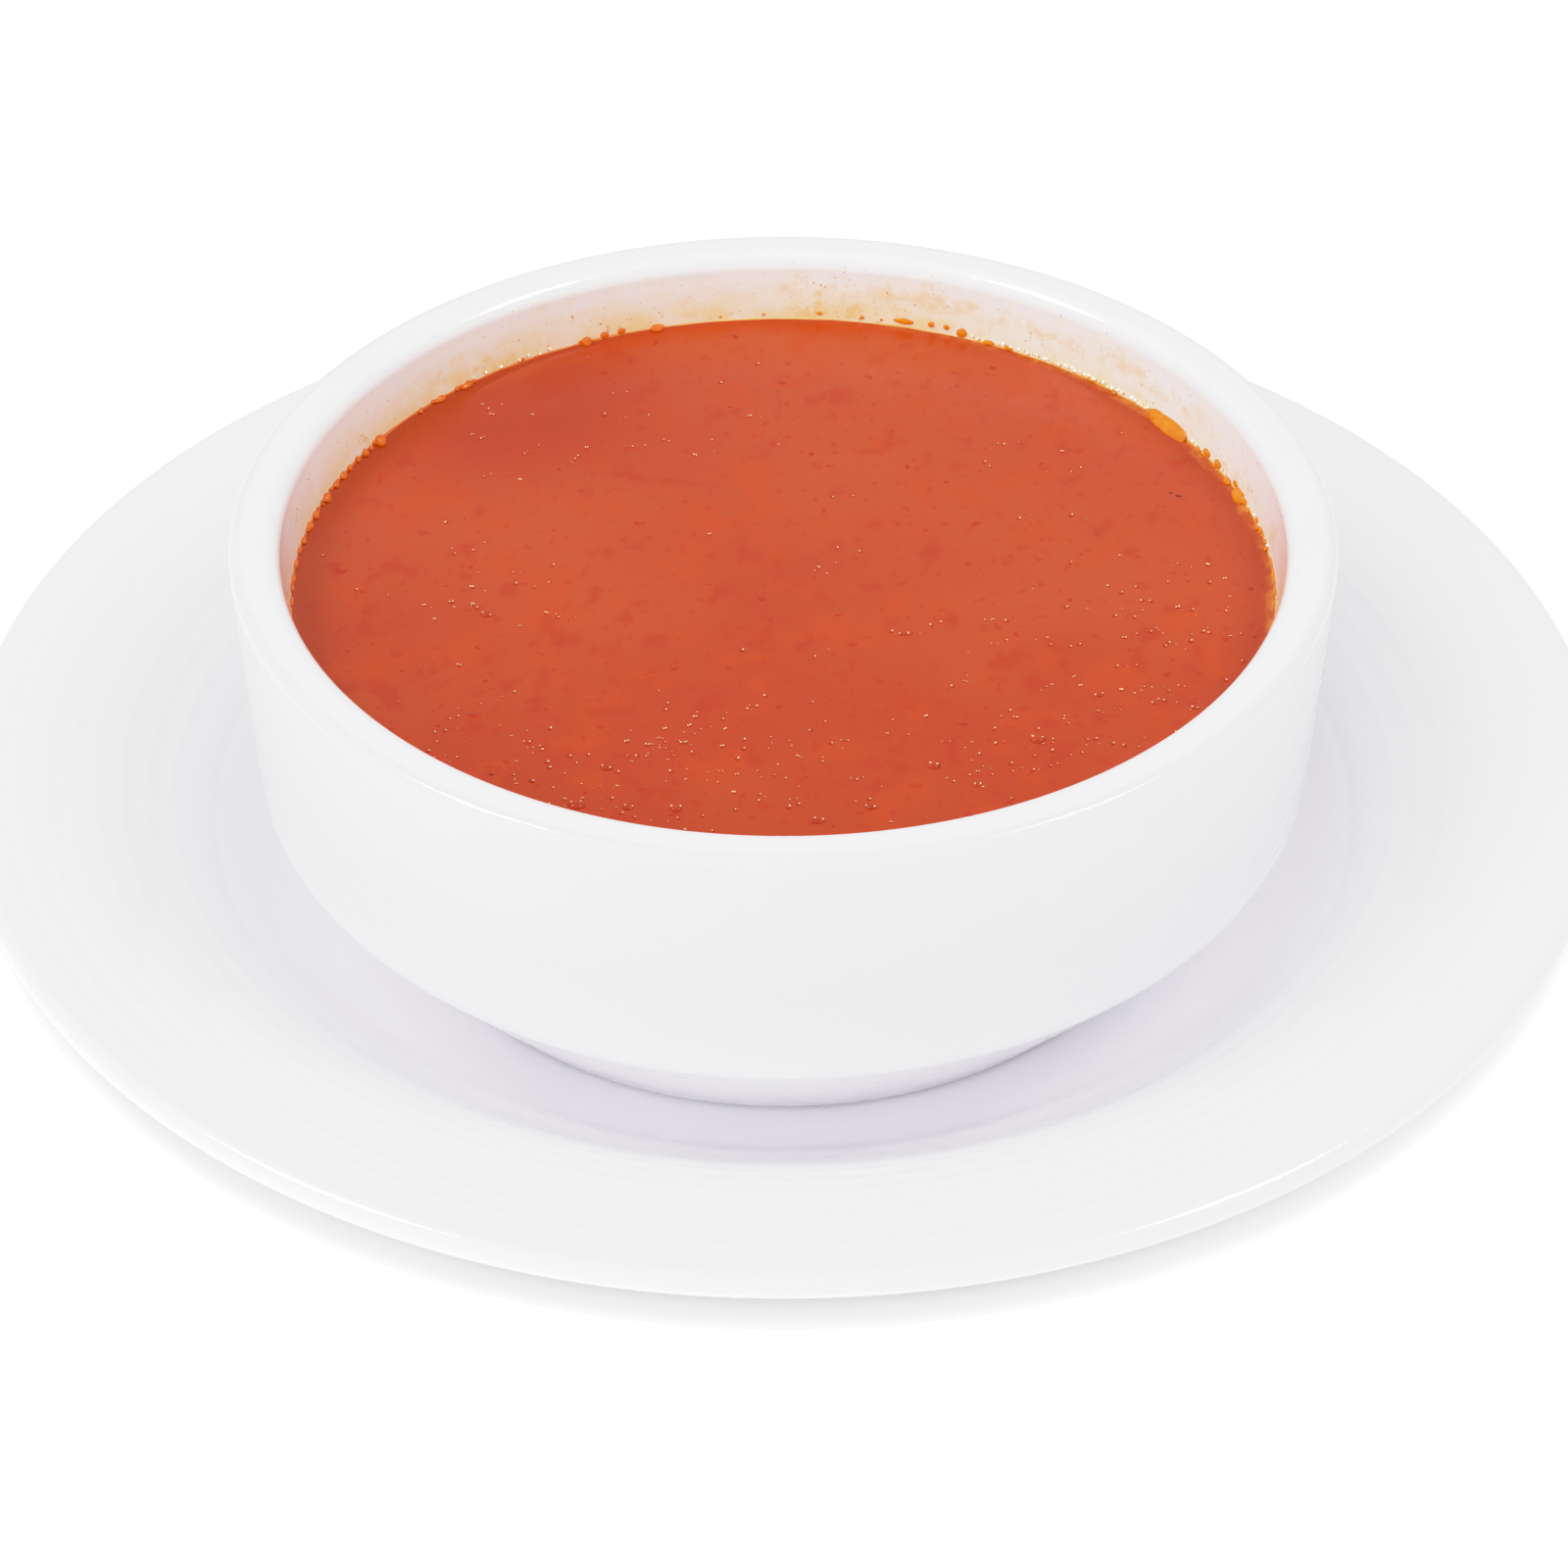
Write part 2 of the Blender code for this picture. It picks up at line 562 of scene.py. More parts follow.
@dataclass(frozen=True)
class SoupFinish:
    """Opaque wet tomato soup: soft mottling, redder blots, an oily edge, painted light and painted
    shade.
    """

    name: str
    edge_r: float
    width: float = 108.0 * MM
    roughness: float = 0.16
    index: float = 1.36
    base: Colour = (0.490, 0.051, 0.0072)
    pale: Colour = (0.526, 0.076, 0.0145)
    # Painted light: rise of the paler tone for each metre to the right and back, and its level at the
    # axis.
    painted_light_drift: tuple[float, float, float] = (1.5, 8.0, 0.42)
    broad: Grain = Grain(38.0, 3.0, seed=2.2)
    broad_swing: float = 2.2
    coats: tuple[Coat, ...] = (
        Coat(
            (0.545, 0.060, 0.0040),
            Mottle(150.0, 3.0, 0.55, (1.0, 0.85, 1.0), 15.1, start=0.50, full=0.66, strength=0.75),
        ),
        Coat(
            (0.480, 0.036, 0.0040),
            Mottle(300.0, 2.0, 0.45, (1.0, 0.75, 1.0), 7.4, start=0.56, full=0.74, strength=0.70),
        ),
        Coat(
            (0.480, 0.036, 0.0040),
            Mottle(760.0, 2.0, 0.5, (1.0, 0.8, 1.0), 4.4, start=0.60, full=0.74, strength=0.75),
        ),
    )
    # Painted shade: a deeper red patch at the back left, where the wall shades the soup.
    shade: Colour = (0.440, 0.036, 0.0025)
    shade_centre: Point = (-31.0 * MM, 37.0 * MM)
    shade_reach: float = 27.0 * MM
    shade_fade: Stops = ((0.15, 0.90), (1.0, 0.0))
    fray: Grain = Grain(190.0, 4.0, 0.65, seed=21.0)
    fray_width: float = 3.2 * MM
    # Painted shade: a deeper, redder band along the wall, mostly at the back and weaker at the right.
    edge: Colour = (0.515, 0.056, 0.0030)
    edge_shade_width: float = 4.5 * MM
    edge_shade_fade: Stops = ((0.10, 0.85), (0.85, 0.0))
    rear_fade: Stops = ((0.46, 0.15), (0.66, 1.0))
    right_fade: Stops = ((0.50, 0.0), (0.80, 1.0))
    right_loss: float = 0.65
    oil: Coat = Coat(
        (0.860, 0.330, 0.0500), Mottle(620.0, 3.0, 0.6, seed=31.0, start=0.38, full=0.60, least=0.25)
    )
    oil_width: float = 1.5 * MM
    oil_fade: Stops = ((0.0, 0.80), (0.18, 0.45), (0.75, 0.0))
    oil_fray: float = 0.8
    relief: Grain = Grain(700.0, 3.0, 0.6, seed=8.0)
    relief_depth: float = 0.02 * MM

    def build(self) -> bpy.types.Material:
        """Make the material."""
        sheet = NodeSheet(self.name)
        x, y, _ = sheet.split(sheet.place())
        # Painted light: the soup turns paler towards the right and the back.
        to_right, to_back, at_axis = self.painted_light_drift
        painted_light_drift = sheet.plus(sheet.plus(sheet.times(x, to_right), sheet.times(y, to_back)), at_axis)
        tone = sheet.plus(painted_light_drift, sheet.wander(self.broad, self.broad_swing), clamp=True)
        colour = sheet.mix(tone, self.base, self.pale)
        for coat in self.coats:
            colour = sheet.lay(colour, coat)
        # Painted shade at the back left.
        away = sheet.length(sheet.minus(x, self.shade_centre[0]), sheet.minus(y, self.shade_centre[1]))
        dusk = sheet.ramp(sheet.within(away, 0.0, self.shade_reach), self.shade_fade)
        colour = sheet.mix(dusk, colour, self.shade)
        reach, fray = sheet.minus(self.edge_r, sheet.radius()), sheet.wander(self.fray, self.fray_width)
        right = sheet.ramp(sheet.across(x, self.width), self.right_fade)
        rear = sheet.ramp(sheet.across(y, self.width), self.rear_fade)
        rear = sheet.times(rear, sheet.minus(1.0, sheet.times(right, self.right_loss)))
        # Painted shade: the deeper red band along the wall, mostly at the back.
        near = sheet.within(sheet.plus(reach, fray), 0.0, self.edge_shade_width)
        colour = sheet.mix(sheet.times(sheet.ramp(near, self.edge_shade_fade), rear), colour, self.edge)
        touch = sheet.within(sheet.plus(reach, sheet.times(fray, self.oil_fray)), 0.0, self.oil_width)
        colour = sheet.lay(colour, self.oil, sheet.times(sheet.ramp(touch, self.oil_fade), right))
        sheet.set(Base_Color=colour, Roughness=self.roughness, IOR=self.index)
        sheet.bump(sheet.noise(self.relief), self.relief_depth)
        return sheet.material


@dataclass(frozen=True)
class OilFinish:
    """Wet oil whose colour changes across the bowl, from the left wall to the right."""

    name: str
    left: Colour = (0.84, 0.19, 0.010)
    middle: Colour = (0.95, 0.55, 0.18)
    right: Colour = (0.96, 0.42, 0.035)
    width: float = 108.0 * MM
    swing: Grain = Grain(110.0, 3.0, 0.6, seed=2.0)
    swing_width: float = 0.35
    middle_fade: Stops = ((0.20, 0.0), (0.46, 1.0))
    right_fade: Stops = ((0.60, 0.0), (0.80, 1.0))
    roughness: float = 0.07
    index: float = 1.45

    def build(self) -> bpy.types.Material:
        """Make the material."""
        sheet = NodeSheet(self.name)
        x, _, _ = sheet.split(sheet.place())
        shift = sheet.plus(
            sheet.across(x, self.width), sheet.wander(self.swing, self.swing_width), clamp=True
        )
        colour = sheet.mix(sheet.ramp(shift, self.middle_fade), self.left, self.middle)
        colour = sheet.mix(sheet.ramp(shift, self.right_fade), colour, self.right)
        sheet.set(Base_Color=colour, Roughness=self.roughness, IOR=self.index)
        return sheet.material


@dataclass(frozen=True)
class DropFinish:
    """Coloured wet drops, flecks or painted highlights, with slightly deeper patches."""

    name: str
    colour: Colour
    roughness: float
    index: float = 1.45
    # Glow lets a painted highlight shine a little by itself.
    glow: float = 0.0
    deeper_tone: float = 0.8
    deeper: Mottle = Mottle(900.0, seed=1.0)

    def build(self) -> bpy.types.Material:
        """Make the material."""
        sheet = NodeSheet(self.name)
        colour = sheet.mix(
            sheet.patches(self.deeper), self.colour, scaled(self.colour, self.deeper_tone)
        )
        sheet.set(Base_Color=colour, Roughness=self.roughness, IOR=self.index)
        sheet.set(Emission_Color=(*self.colour, 1.0), Emission_Strength=self.glow)
        return sheet.material


@dataclass(frozen=True)
class FloorFinish:
    """Matt white table top with a little light of its own, left out right under the saucer: painted
    shadow.
    """

    name: str
    white: Colour = (0.46, 0.46, 0.46)
    grain_tone: float = 0.995
    grain: Mottle = Mottle(60.0, 3.0)
    roughness: float = 0.9
    glow: float = 0.66
    dim_centre: float = 26.4 * MM
    glow_start: float = 90.0 * MM
    glow_full: float = 96.8 * MM
    lip_start: float = 83.0 * MM
    lip_full: float = 92.0 * MM

    def build(self) -> bpy.types.Material:
        """Make the material."""
        sheet = NodeSheet(self.name)
        colour = sheet.mix(sheet.patches(self.grain), self.white, scaled(self.white, self.grain_tone))
        x, y, _ = sheet.split(sheet.place())
        # Painted shadow: the glow fades out inside a circle set back from the saucer and inside the
        # lip's circle, leaving a dim strip below the lip.
        front = sheet.within(
            sheet.length(x, sheet.minus(y, self.dim_centre)), self.glow_start, self.glow_full
        )
        around = sheet.within(sheet.radius(), self.lip_start, self.lip_full)
        glow = sheet.times(sheet.math("MAXIMUM", front, around), self.glow)
        sheet.set(
            Base_Color=colour, Roughness=self.roughness, Emission_Color=(1.0, 1.0, 1.0, 1.0),
            Emission_Strength=glow,
        )
        return sheet.material


# ---------------------------------------------------------------------------
# Sub-assemblies
# ---------------------------------------------------------------------------


@dataclass
class Saucer:
    """Deep saucer: foot ring, rising back, rounded lip, ridged wing and smooth well."""

    foot_in: float = 48.0 * MM
    foot_out: float = 52.0 * MM
    foot_edge: float = 0.5 * MM
    recess: float = 3.0 * MM
    floor_z: float = 7.0 * MM
    floor_r: float = 46.5 * MM
    well_end: Point = (61.0 * MM, 15.2 * MM)
    well_slope: float = math.radians(41.3)
    brow: Point = (63.7 * MM, 17.6 * MM)
    wing_corner: Point = (71.5 * MM, 24.2 * MM)
    lip_r: float = 1.5 * MM
    lip_centre: Point = (89.7 * MM, 26.0 * MM)
    lip_tuck: float = 0.4 * MM
    back_start: Point = (53.4 * MM, 3.4 * MM)
    back_corner: Point = (68.0 * MM, 19.6 * MM)
    ridge_first: float = 65.9 * MM
    ridge_last: float = 88.4 * MM
    ridge_pitch: float = 2.74 * MM
    ridge_height: float = 0.085 * MM
    ridge_power: float = 1.6
    ridge_fade: float = 2.0 * MM
    ridge_patches: float = 2.2
    ridge_shift: float = 0.9
    ridge_change: float = 0.5
    steps: int = 256

    def profile(self) -> list[Point]:
        """Outline from the axis under the foot, round the lip and back to the axis."""
        edge = self.foot_edge
        corner_r = self.well_end[0] - (self.well_end[1] - self.floor_z) / math.tan(self.well_slope)
        under = (self.lip_centre[0] - self.lip_tuck, self.lip_centre[1] - self.lip_r)
        top = (self.lip_centre[0], self.lip_centre[1] + self.lip_r)
        foot = [(0.0, self.recess), (self.foot_in - 3 * edge, self.recess)]
        inner_start = (self.foot_in - 2 * edge, self.recess - 0.6 * edge)
        foot += bend(inner_start, (self.foot_in - edge, 0.0), (self.foot_in, 0.0), 5)
        foot += bend(
            (self.foot_out - edge, 0.0), (self.foot_out, 0.0), (self.foot_out + 0.2 * edge, edge), 5
        )
        back = bend(self.back_start, self.back_corner, under, 30)
        lip = arc(self.lip_centre, self.lip_r, -90, 90, 18)
        wing = resample(bend(top, self.wing_corner, self.brow, 60), self.ridge_pitch / 10)
        well = bend(self.well_end, (corner_r, self.floor_z), (self.floor_r, self.floor_z), 24)
        under_side = resample(foot + back, 2.0 * MM)
        well_side = resample([wing[-1]] + well, 1.0 * MM)
        return under_side + lip[1:] + wing[1:] + well_side[1:] + [(0.0, self.floor_z)]

    def ridge(self, radius: float, azimuth: float) -> float:
        """Height of the throwing ridges at a place on the wing.

        Args:
            radius: distance from the axis.
            azimuth: angle about the axis in radians.

        Returns:
            Height above the plain wing.
        """
        start, finish = radius - self.ridge_first, self.ridge_last - radius
        fade = unit(start / self.ridge_fade) * unit(finish / self.ridge_fade)
        phase = start / self.ridge_pitch
        wave = (0.5 + 0.5 * math.cos(2 * math.pi * phase)) ** self.ridge_power
        around = ring_noise(azimuth, self.ridge_patches, round(phase) * self.ridge_shift)
        return self.ridge_height * fade * wave * (1.0 + self.ridge_change * around)

    def build(self, finish: Glaze) -> bpy.types.Object:
        """Model the saucer and hide its plain solid.

        Args:
            finish: glaze of the saucer.

        Returns:
            The finished piece.
        """
        bm = turn(self.profile(), self.steps)
        for vert in bm.verts:
            radius = math.hypot(vert.co.x, vert.co.y)
            if vert.co.z > self.brow[1] and vert.normal.z > 0.2 and radius > self.ridge_first:
                vert.co.z += self.ridge(radius, math.atan2(vert.co.y, vert.co.x))
        obj = piece_from(bm, "ridged_saucer", finish.build(), Slot.SAUCER)
        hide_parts("saucer")
        return obj


@dataclass
class Bowl:
    """Thick bowl: foot ring, sloping underside, crease, upright wall, soft rim and inside."""

    foot_z: float
    rim_z: float
    radius: float
    foot_r: float = 43.3 * MM
    foot_width: float = 3.9 * MM
    foot_edge: float = 0.4 * MM
    recess: float = 2.2 * MM
    crease: Point = (58.4 * MM, 17.3 * MM)
    crease_blend: float = 1.1 * MM
    crease_lean: float = 0.08 * MM
    wall: Point = (58.9 * MM, 24.6 * MM)
    outer_edge: float = 1.2 * MM
    inner_edge: float = 2.1 * MM
    throat_r: float = 54.5 * MM
    level: Point = (53.7 * MM, 38.3 * MM)
    inner_wall: Point = (53.0 * MM, 24.8 * MM)
    inner_corner_r: float = 51.5 * MM
    inner_floor: Point = (27.0 * MM, 6.0 * MM)
    throwing_height: float = 0.007 * MM
    throwing_pitch: float = 1.9 * MM
    throwing_margin: Point = (1.5 * MM, 2.0 * MM)
    wobble_patches: float = 1.5
    wobble_scale: float = 160.0
    wobble_shift: float = 1.5
    steps: int = 256

    def inside(self, inset: float) -> list[Point]:
        """Inner wall from the soup's level down to the axis, moved inwards by the inset."""
        floor_z = self.inner_floor[1] + inset
        start = (self.inner_wall[0] - inset, self.inner_wall[1])
        corner = bend(start, (self.inner_corner_r - inset, floor_z), (self.inner_floor[0], floor_z), 16)
        return [(self.level[0] - inset, self.level[1])] + corner + [(0.0, floor_z)]

    def profile(self) -> list[Point]:
        """Outline from the axis under the foot, over the rim and down the inside to the axis."""
        height = self.rim_z - self.foot_z
        edge, blend = self.foot_edge, self.crease_blend
        slope = math.atan2(self.crease[1], self.crease[0] - self.foot_r)
        below = (self.crease[0] - blend * math.cos(slope), self.crease[1] - blend * math.sin(slope))
        above = (self.crease[0] + self.crease_lean, self.crease[1] + blend)
        inner_r = self.foot_r - self.foot_width
        foot = [(0.0, self.recess), (inner_r - 2 * edge, self.recess)]
        foot += bend((inner_r - edge, edge), (inner_r - 0.5 * edge, 0.0), (inner_r, 0.0), 4)
        foot += bend((self.foot_r, 0.0), (self.foot_r + 0.5 * edge, 0.0), (self.foot_r + edge, edge), 4)
        belly = bend(below, self.crease, above, 8)
        wall = resample(
            [above, self.wall, (self.radius, height - self.outer_edge)], self.throwing_pitch / 8
        )
        rim = arc((self.radius - self.outer_edge, height - self.outer_edge), self.outer_edge, 0, 90, 12)
        rim += arc(
            (self.throat_r + self.inner_edge, height - self.inner_edge), self.inner_edge, 90, 180, 16
        )
        inner = resample([rim[-1]] + self.inside(0.0), 0.8 * MM)
        points = resample(foot + belly, 1.5 * MM) + wall[1:] + rim + inner[1:]
        return [(r, z + self.foot_z) for r, z in resample(points, self.radius)]

    def build(self, finish: Glaze) -> bpy.types.Object:
        """Model the bowl and hide its plain solid.

        Args:
            finish: glaze of the bowl, with its stain.

        Returns:
            The finished piece.
        """
        bm = turn(self.profile(), self.steps)
        low = self.foot_z + self.crease[1] + self.throwing_margin[0]
        high = self.rim_z - self.throwing_margin[1]
        for vert in bm.verts:
            radius = math.hypot(vert.co.x, vert.co.y)
            if low < vert.co.z < high and radius > self.crease[0]:
                azimuth = math.atan2(vert.co.y, vert.co.x)
                wobble = self.wobble_shift * ring_noise(
                    azimuth, self.wobble_patches, vert.co.z * self.wobble_scale
                )
                wave = math.cos(2 * math.pi * (vert.co.z - low) / self.throwing_pitch + wobble)
                scale = 1 + self.throwing_height * (wave - 1.0) / radius
                vert.co.x *= scale
                vert.co.y *= scale
        obj = piece_from(bm, "glazed_bowl", finish.build(), Slot.BOWL)
        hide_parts("bowl")
        return obj


@dataclass
class Soup:
    """Soup that fills the bowl to its level, with a low curl where it meets the wall."""

    bowl: Bowl
    surface_z: float
    into_wall: float = 0.15 * MM
    curl_height: float = 0.42 * MM
    curl_width: float = 0.62 * MM
    swell: float = 0.035 * MM
    swell_scale: float = 75.0
    ripple_scale: float = 310.0
    ripple_part: float = 0.3
    calm_edge: float = 1.0 * MM
    calm_run: float = 2.0 * MM
    fine_step: float = 0.1 * MM
    fine_rings: int = 26
    coarse_rings: int = 60
    steps: int = 240

    def wall_r(self, height: float) -> float:
        """Radius of the bowl's inner wall at a height near the level."""
        top = self.bowl.rim_z - self.bowl.inner_edge
        level = self.bowl.level[1] + self.bowl.foot_z
        slope = (self.bowl.throat_r - self.bowl.level[0]) / (top - level)
        return self.bowl.level[0] + slope * (height - level)

    def surface_at(self, radius: float) -> float:
        """Height of the undisturbed surface at a radius."""
        gap = max(0.0, self.wall_r(self.surface_z) - radius)
        return self.surface_z + self.curl_height * math.exp(-gap / self.curl_width)

    def ripple(self, x: float, y: float) -> float:
        """Rise or fall of the surface at a place, still near the wall."""
        calm = unit((self.bowl.level[0] - self.calm_edge - math.hypot(x, y)) / self.calm_run)
        place = Vector((x, y, 0.0))
        swell, ripple = noise.noise(place * self.swell_scale), noise.noise(place * self.ripple_scale)
        return calm * self.swell * (swell + self.ripple_part * ripple)

    def build(self, finish: SoupFinish) -> bpy.types.Object:
        """Model the soup and hide its plain solid.

        Args:
            finish: look of the soup.

        Returns:
            The finished piece.
        """
        under = [(r, z + self.bowl.foot_z) for r, z in self.bowl.inside(-self.into_wall)][::-1]
        edge_r = self.wall_r(self.surface_z + self.curl_height) + self.into_wall
        top = [(r, self.surface_at(r)) for r in self.radii(edge_r)]
        side = resample(under[:-1] + [(edge_r, self.surface_z - 1.0 * MM)], 3.0 * MM)
        bm = turn(side + top, self.steps)
        for vert in bm.verts:
            if vert.co.z > self.surface_z - 0.1 * MM:
                vert.co.z += self.ripple(vert.co.x, vert.co.y)
        obj = piece_from(bm, "tomato_soup_fill", finish.build(), Slot.SOUP, sharp_deg=80.0)
        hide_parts("soup")
        return obj

    def radii(self, edge_r: float) -> list[float]:
        """Radii of the surface rings from the edge to the axis, closer near the edge."""
        fine = [edge_r - self.fine_step * i for i in range(self.fine_rings)]
        return fine + [
            fine[-1] * (1 - i / self.coarse_rings) for i in range(1, self.coarse_rings)
        ] + [0.0]


@dataclass(frozen=True)
class Dome:
    """Shape of a bubble: size in the surface, rise, stretch across, and segments."""

    scale: float
    rise: float
    stretch: float
    rings: tuple[int, int]


@dataclass
class Bubbles:
    """Small bubbles in the surface of the soup, as low domes with pale glints on them, painted
    highlights.
    """

    soup: Soup
    seed: int = 41
    groups: int = 215
    smallest: float = 0.15 * MM
    largest: float = 0.32 * MM
    spread: float = 1.5 * MM
    edge: float = 51.6 * MM
    small: Dome = Dome(0.82, 0.85, 1.0, (8, 5))
    wide: Dome = Dome(0.92, 0.62, 1.25, (10, 6))
    wide_from: float = 0.4 * MM
    sink: float = 0.12
    twin_chance: float = 0.18
    group_sizes: tuple[int, ...] = (1, 1, 1, 2, 2, 3, 4)
    small_bias: float = 2.2
    clearance: float = 0.9
    largest_glint: float = 0.13 * MM
    glint_part: float = 0.58
    glint_scatter: Point = (0.8, 1.15)
    glint_flatness: float = 0.7
    glint_sides: tuple[int, ...] = (1, 1, 1, -1)
    glint_turn_deg: float = 35.0
    glint_height_deg: Point = (38.0, 62.0)
    # Least chance of a bubble, and heaps of chance: peak, place across and back, widths, in millimetres.
    least: float = 0.05
    heaps: tuple[tuple[float, float, float, float, float], ...] = (
        (1.0, 0.0, -33.0, math.inf, 8.5), (1.0, 38.0, -12.0, 11.0, 13.0),
        (0.45, -17.0, 32.0, 12.0, 9.0), (0.30, -32.0, -8.0, 9.0, 14.0),
    )
    # Place across and back and radius of the bubbles that stand out, in millimetres.
    placed: tuple[Triple, ...] = (
        (22.0, -27.1, 0.34), (-26.7, -29.3, 0.42), (11.6, -9.6, 0.30), (12.7, -10.1, 0.36),
        (13.7, -10.0, 0.34), (-28.6, -20.5, 0.26), (-24.5, -27.0, 0.28), (0.5, -40.4, 0.34),
        (-22.3, -31.7, 0.36), (-32.2, -6.4, 0.62), (-17.2, -34.5, 0.30), (-18.3, -33.7, 0.62),
        (-20.8, 33.3, 0.38), (38.0, -7.0, 0.28), (-4.5, -13.0, 0.36), (-7.4, 40.2, 0.30),
        (39.1, -3.8, 0.34), (40.1, -4.0, 0.30), (26.6, -28.9, 0.78), (15.6, -33.4, 0.66),
        (-3.1, 44.2, 0.32), (-5.1, -37.9, 0.30), (9.0, -40.3, 0.60), (15.0, -24.9, 0.26),
        (23.8, -23.8, 0.28), (42.9, -5.1, 0.28), (8.8, -39.1, 0.28), (25.8, -34.2, 0.30),
        (49.2, -15.1, 0.30), (-15.9, -40.4, 0.55), (-21.2, -40.0, 0.85), (-12.4, -27.1, 0.26),
        (43.4, -23.3, 0.42), (27.9, -30.8, 0.36), (-34.6, -15.8, 0.34), (-8.2, 8.9, 0.26),
        (-22.5, 26.4, 0.24), (-29.8, 19.9, 0.24), (-37.6, 11.2, 0.26), (3.6, -42.6, 0.60),
        (-11.0, -40.6, 0.62), (33.4, -21.0, 0.50), (20.0, -36.6, 0.44), (-26.0, -36.0, 0.40),
        (47.0, -18.4, 0.34),
    )

    def crowd(self, x: float, y: float) -> float:
        """Chance of bubbles at a place.

        Args:
            x: place across, in metres.
            y: place from front to back, in metres.

        Returns:
            A number from 0 to 1: high in front and at the right, and in a patch at the back left.
        """
        chance = self.least
        for peak, across, back, wide, deep in self.heaps:
            chance += peak * math.exp(
                -(((x / MM - across) / wide) ** 2) - ((y / MM - back) / deep) ** 2
            )
        return min(1.0, chance)

    def places(self) -> list[Triple]:
        """Centres and radii of all the bubbles, in metres."""
        dice = random.Random(self.seed)
        found = [(x * MM, y * MM, r * MM) for x, y, r in self.placed]
        groups = 0
        while groups < self.groups:
            x, y = dice.uniform(-self.edge, self.edge), dice.uniform(-self.edge, self.edge)
            if math.hypot(x, y) > self.edge or dice.random() > self.crowd(x, y):
                continue
            groups += 1
            for _ in range(dice.choice(self.group_sizes)):
                size = self.smallest + (self.largest - self.smallest) * dice.random() ** self.small_bias
                px, py = x + dice.gauss(0, self.spread), y + dice.gauss(0, 0.5 * self.spread)
                apart = all(
                    math.hypot(px - a, py - b) > self.clearance * (size + c) for a, b, c in found
                )
                if math.hypot(px, py) < self.edge and apart:
                    found.append((px, py, size))
        return found

    def build(self, film: DropFinish, glint: DropFinish) -> list[bpy.types.Object]:
        """Model the domes and their glints.

        Args:
            film: look of the domes.
            glint: look of the glints.

        Returns:
            The two finished pieces.
        """
        dice = random.Random(self.seed + 1)
        domes, glints = bmesh.new(), bmesh.new()
        for x, y, size in self.places():
            level = self.soup.surface_z + self.soup.ripple(x, y)
            dome = self.wide if size > self.wide_from else self.small
            size *= dome.scale
            rise = size * dome.rise
            centre = Vector((x, y, level - self.sink * size))
            shape = Matrix.Translation(centre) @ Matrix.Diagonal((size * dome.stretch, size, rise, 1.0))
            add_blob(domes, shape.__matmul__, dome.rings)
            twins = dome is self.wide or dice.random() < self.twin_chance
            for side in (1, -1) if twins else (dice.choice(self.glint_sides),):
                turn_deg = dice.uniform(-self.glint_turn_deg, self.glint_turn_deg)
                turn_deg += 0 if side > 0 else 180
                height = math.radians(dice.uniform(*self.glint_height_deg))
                dot = min(self.largest_glint, size * self.glint_part)
                dot *= dice.uniform(*self.glint_scatter)
                out = on_ring(size * dome.stretch * math.cos(height), turn_deg, rise * math.sin(height))
                half = Matrix.Diagonal((dot, dot, self.glint_flatness * dot, 1.0))
                add_blob(glints, (Matrix.Translation(centre + out) @ half).__matmul__, (6, 4))
        return [
            piece_from(domes, "soup_bubbles", film.build(), Slot.SOUP),
            piece_from(glints, "bubble_glints", glint.build(), Slot.SOUP),
        ]


